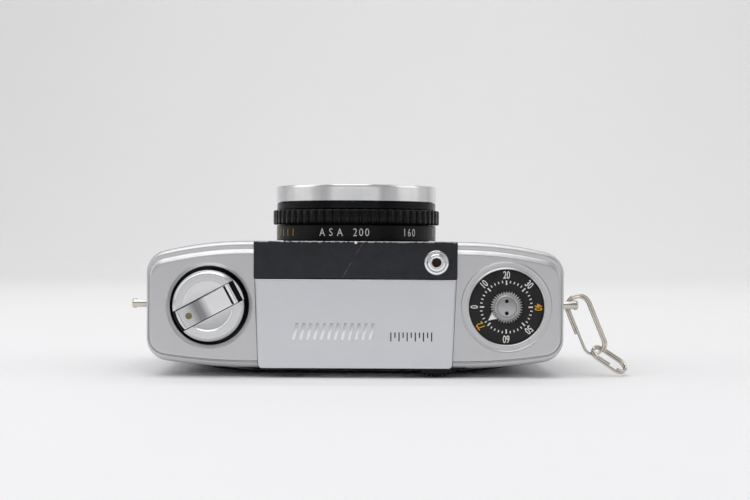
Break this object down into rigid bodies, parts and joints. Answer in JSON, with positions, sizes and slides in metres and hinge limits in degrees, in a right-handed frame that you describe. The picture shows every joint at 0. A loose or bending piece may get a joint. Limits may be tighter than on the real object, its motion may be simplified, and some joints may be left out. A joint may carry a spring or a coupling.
{
  "type": "half frame camera",
  "caption": "Compact 35 mm half frame viewfinder camera with selenium meter ring round the lens, rewind crank, thumb-wheel advance and a wire strap link.",
  "frame": {"origin": "where the lens axis meets the flat back face that the camera lies on", "axes": "+X along the body towards the counter dial, +Y towards the base, +Z along the lens axis out of the lens"},
  "size_m": [0.1316, 0.0684, 0.0506],
  "materials": {
    "satin_chrome": "satin chrome, fine grain",
    "bright_plate": "smooth satin",
    "bright_chrome": "polished",
    "nickel_wire": "nickel, slightly worn",
    "steel": "machined",
    "brass": "machined",
    "slate_paint": "semi-gloss enamel",
    "black_metal": "black anodised",
    "leatherette": "fine grain",
    "cast_alloy": "matt black on casting",
    "clear_glass": "clear",
    "cell_plate": "selenium grey-gold"
  },
  "bodies": {
    "camera_body": {"top_cover": "satin_chrome", "block_cover": "bright_plate", "fascia": "slate_paint", "viewfinder_window": "clear_glass", "frame_window": "clear_glass", "viewfinder_tube": "black_metal", "eyepiece_frame": "black_metal", "eyepiece_lens": "clear_glass", "body_casting": "cast_alloy", "front_leatherette": "leatherette", "film_gate": "steel", "rewind_well": "black_metal", "counter_dial": "black_metal", "release_collar": "bright_chrome", "shutter_housing": "black_metal", "lens_mount": "black_metal", "spacer_ring": "black_metal", "chrome_ring": "bright_chrome", "cell_carrier": "black_metal", "selenium_cell": "cell_plate", "cell_window": "clear_glass", "lens_barrel": "black_metal", "inner_cone": "black_metal", "front_element": "clear_glass", "rear_element": "clear_glass", "lug_left": "nickel_wire", "lug_right": "nickel_wire"},
    "rewind_pull": {"rewind_sleeve": "brass"},
    "rewind_turn": {"rewind_knob": "bright_chrome", "rewind_shaft": "steel", "crank_hinge_pin": "steel"},
    "crank": {"crank_arm": "bright_chrome", "crank_rivet": "steel"},
    "crank_grip": {"crank_handle": "bright_chrome"},
    "counter": {"counter_pointer": "bright_chrome", "counter_screw": "steel"},
    "advance": {"advance_wheel": "black_metal", "sprocket_shaft": "steel", "sprocket_top": "steel", "sprocket_base": "steel", "sprocket_gear": "brass"},
    "spool": {"take_up_spool": "black_metal", "spool_gear": "brass"},
    "release": {"shutter_button": "bright_chrome", "release_rod": "steel"},
    "blade_a": {"shutter_blade_a": "steel"},
    "blade_b": {"shutter_blade_b": "steel"},
    "setting_ring": {"scale_band": "black_metal", "grip_ring": "black_metal"},
    "back": {"back_cover": "satin_chrome", "back_leatherette": "leatherette", "pressure_plate": "black_metal", "pressure_spring": "steel", "tripod_bush": "steel"},
    "back_lock": {"lock_key": "bright_chrome"},
    "rewind_release": {"rewind_button": "bright_chrome"},
    "link_large": {"link_large": "nickel_wire"},
    "link_small": {"link_small": "nickel_wire"}
  },
  "joints": [
    {"name": "rewind_pull_slide", "type": "slide", "parent": "camera_body", "child": "rewind_pull", "axis": [0, -1, 0], "range_m": [0, 0.006]},
    {"name": "rewind_turn_hinge", "type": "hinge", "parent": "rewind_pull", "child": "rewind_turn", "pos_m": [-0.0377, -0.0295, 0.01855], "axis": [0, -1, 0], "continuous": true},
    {"name": "crank_unfold", "type": "hinge", "parent": "rewind_turn", "child": "crank", "pos_m": [-0.03187, -0.0375, 0.02165], "axis": [-0.4695, 0, 0.8829], "range_deg": [0, 180]},
    {"name": "crank_grip_spin", "type": "hinge", "parent": "crank", "child": "crank_grip", "pos_m": [-0.04256, -0.0372, 0.01597], "axis": [0, -1, 0], "continuous": true},
    {"name": "advance_turn", "type": "hinge", "parent": "camera_body", "child": "advance", "pos_m": [0.0212, -0.0295, 0.012], "axis": [0, -1, 0], "continuous": true},
    {"name": "spool_turn", "type": "hinge", "parent": "camera_body", "child": "spool", "pos_m": [0.039, -0.028, 0.0185], "axis": [0, -1, 0], "continuous": true},
    {"name": "counter_turn", "type": "hinge", "parent": "camera_body", "child": "counter", "pos_m": [0.039, -0.035, 0.0185], "axis": [0, -1, 0], "continuous": true},
    {"name": "release_press", "type": "slide", "parent": "camera_body", "child": "release", "axis": [0, 1, 0], "range_m": [0, 0.0018], "stiffness_N_per_m": 300, "springref_m": -0.003},
    {"name": "blade_a_swing", "type": "hinge", "parent": "camera_body", "child": "blade_a", "pos_m": [0.0096, 0, 0.0229], "axis": [0, 0, -1], "range_deg": [0, 38]},
    {"name": "blade_b_swing", "type": "hinge", "parent": "camera_body", "child": "blade_b", "pos_m": [0.0096, 0, 0.0235], "axis": [0, 0, 1], "range_deg": [0, 38]},
    {"name": "setting_ring_turn", "type": "hinge", "parent": "camera_body", "child": "setting_ring", "pos_m": [0, 0, 0.04], "axis": [0, 0, 1], "range_deg": [-60, 60]},
    {"name": "back_lift_off", "type": "slide", "parent": "camera_body", "child": "back", "axis": [0, 1, 0], "range_m": [0, 0.07]},
    {"name": "back_lock_turn", "type": "hinge", "parent": "back", "child": "back_lock", "pos_m": [-0.0377, 0.03, 0.01855], "axis": [0, 1, 0], "range_deg": [0, 90]},
    {"name": "rewind_release_press", "type": "slide", "parent": "camera_body", "child": "rewind_release", "axis": [0, -1, 0], "range_m": [0, 0.0005], "stiffness_N_per_m": 300, "springref_m": -0.002},
    {"name": "link_large_swing", "type": "hinge", "parent": "camera_body", "child": "link_large", "pos_m": [0.0594, -0.024, 0.0181], "axis": [0, -1, 0], "range_deg": [-5, 90]},
    {"name": "link_small_swing", "type": "hinge", "parent": "link_large", "child": "link_small", "pos_m": [0.0654, -0.024, 0.006], "axis": [0.7523, 0, 0.6588], "range_deg": [-30, 40]}
  ],
  "couplings": [
    {"joint": "spool_turn", "follows": "advance_turn", "ratio": -0.625},
    {"joint": "counter_turn", "follows": "advance_turn", "ratio": 0.025},
    {"joint": "blade_a_swing", "follows": "release_press", "rad_per_m": 350},
    {"joint": "blade_b_swing", "follows": "release_press", "rad_per_m": 350}
  ]
}
